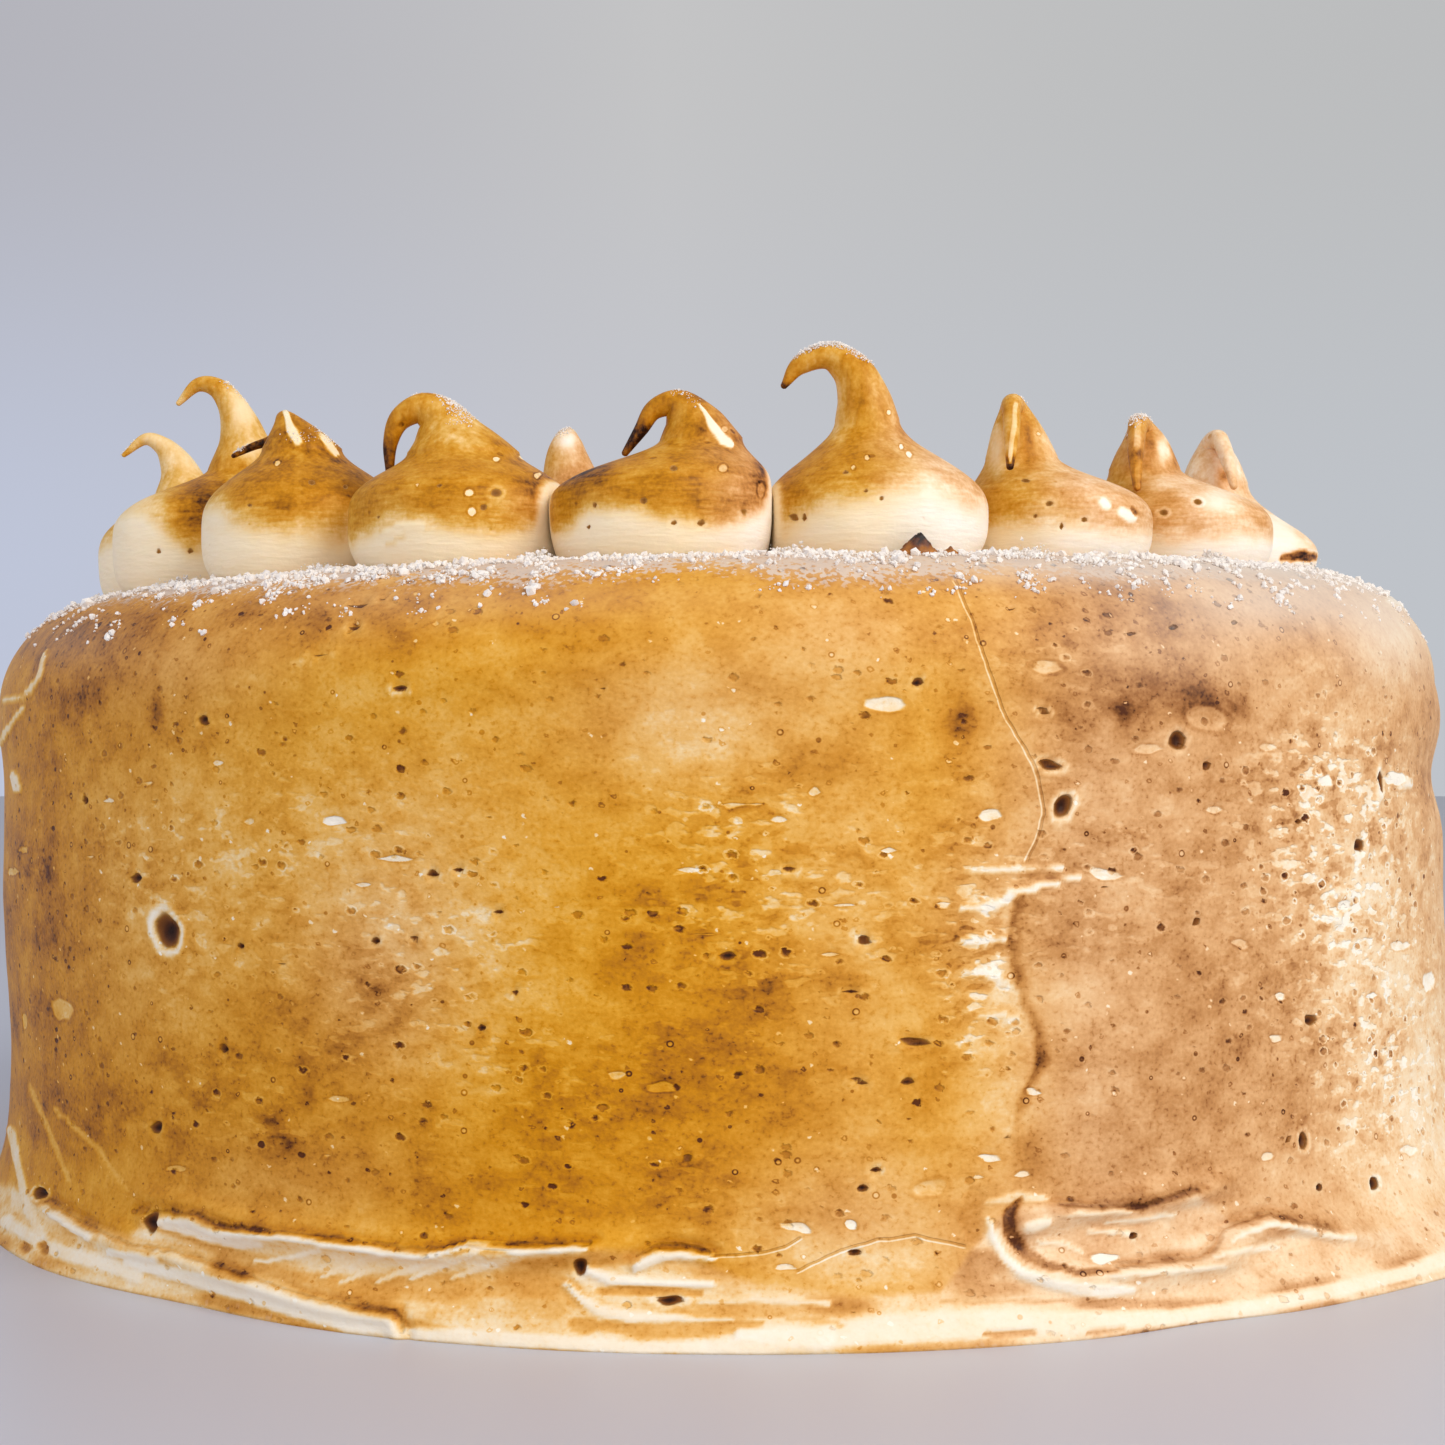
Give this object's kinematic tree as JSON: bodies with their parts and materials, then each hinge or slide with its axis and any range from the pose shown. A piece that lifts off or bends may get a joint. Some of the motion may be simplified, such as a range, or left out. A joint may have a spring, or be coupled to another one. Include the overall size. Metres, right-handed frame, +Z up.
{
  "type": "torched meringue cake",
  "caption": "Round tall cake in a toasted meringue coat, with a ring of piped meringue kisses with curled tips on its top; stands on its flat foot.",
  "frame": {"origin": "middle of the flat foot, on the surface that the cake stands on", "axes": "+Z up; -Y is the shown front; +X is to the right when the front is looked at"},
  "size_m": [0.2576, 0.2591, 0.1336],
  "materials": {
    "toasted_coat": "torched meringue, golden brown with cream patches, satin",
    "toasted_kiss": "piped meringue, cream at the foot and torched brown above, satin"
  },
  "bodies": {
    "root": {"cake": "toasted_coat", "kiss_01": "toasted_kiss", "kiss_02": "toasted_kiss", "kiss_03": "toasted_kiss", "kiss_04": "toasted_kiss", "kiss_05": "toasted_kiss", "kiss_06": "toasted_kiss", "kiss_07": "toasted_kiss", "kiss_08": "toasted_kiss", "kiss_09": "toasted_kiss", "kiss_10": "toasted_kiss", "kiss_11": "toasted_kiss", "kiss_12": "toasted_kiss", "kiss_13": "toasted_kiss", "kiss_14": "toasted_kiss", "kiss_15": "toasted_kiss", "kiss_16": "toasted_kiss", "kiss_17": "toasted_kiss", "kiss_18": "toasted_kiss", "kiss_19": "toasted_kiss", "kiss_20": "toasted_kiss"}
  },
  "joints": []
}
